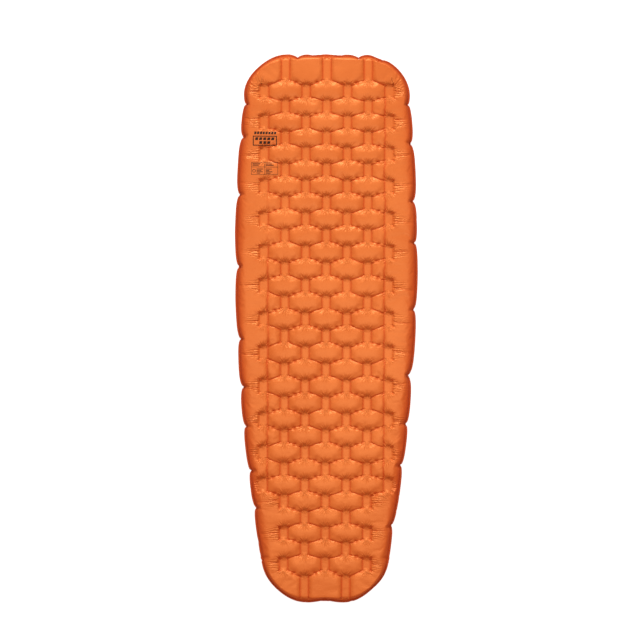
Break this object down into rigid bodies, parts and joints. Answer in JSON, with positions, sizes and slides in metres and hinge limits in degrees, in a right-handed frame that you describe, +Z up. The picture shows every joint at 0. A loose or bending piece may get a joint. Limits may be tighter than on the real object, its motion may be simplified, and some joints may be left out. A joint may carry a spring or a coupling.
{
  "type": "inflatable sleeping pad",
  "caption": "Inflatable camping sleeping pad, tapered with rounded corners: quilted fabric shell with welded rim, inner film trusses and a flat lidded air valve underneath.",
  "frame": {"origin": "centre of the footprint at the underside, where the inflated pad lies on the floor", "axes": "+Z up to the sleeping side, +Y along the pad towards the wide head end, +X to the right seen from above with the head away"},
  "size_m": [0.6108, 1.83, 0.055],
  "materials": {
    "top_fabric": "satin coated woven fabric",
    "bottom_fabric": "satin coated woven fabric",
    "truss_film": "thin coated film",
    "valve_plastic": "satin moulded",
    "lid_plastic": "satin moulded",
    "cap_plastic": "satin moulded",
    "strap_plastic": "flexible moulded",
    "seal_rubber": "smooth",
    "disc_silicone": "smooth translucent"
  },
  "bodies": {
    "pad": {"top_sheet": "top_fabric", "bottom_sheet": "bottom_fabric", "truss_01": "truss_film", "truss_02": "truss_film", "truss_03": "truss_film", "truss_04": "truss_film", "truss_05": "truss_film", "truss_06": "truss_film", "truss_07": "truss_film", "truss_08": "truss_film", "truss_09": "truss_film", "truss_10": "truss_film", "truss_11": "truss_film", "truss_12": "truss_film", "truss_13": "truss_film", "truss_14": "truss_film", "truss_15": "truss_film", "truss_16": "truss_film", "truss_17": "truss_film", "truss_18": "truss_film", "truss_19": "truss_film", "truss_20": "truss_film", "truss_21": "truss_film", "truss_22": "truss_film", "truss_23": "truss_film", "truss_24": "truss_film", "truss_25": "truss_film", "truss_26": "truss_film", "truss_27": "truss_film", "truss_28": "truss_film", "truss_29": "truss_film", "truss_30": "truss_film", "truss_31": "truss_film", "truss_32": "truss_film", "valve_base": "valve_plastic", "leash_collar": "strap_plastic"},
    "deflate_lid": {"deflate_plug": "lid_plastic", "plug_o_ring": "seal_rubber", "plug_leash": "strap_plastic"},
    "inflation_cap": {"inflate_cap": "cap_plastic", "cap_o_ring": "seal_rubber", "cap_leash": "strap_plastic"},
    "check_flap": {"one_way_disc": "disc_silicone"}
  },
  "joints": [
    {"name": "lid_hinge", "type": "hinge", "parent": "pad", "child": "deflate_lid", "pos_m": [-0.184, 0.816, 0.0044], "axis": [0, -1, 0], "range_deg": [0, 135]},
    {"name": "cap_hinge", "type": "hinge", "parent": "deflate_lid", "child": "inflation_cap", "pos_m": [-0.223, 0.816, 0.0012], "axis": [0, 1, 0], "range_deg": [0, 150]},
    {"name": "flap_lift", "type": "slide", "parent": "deflate_lid", "child": "check_flap", "axis": [0, 0, 1], "range_m": [0, 0.0025], "stiffness_N_per_m": 20}
  ]
}
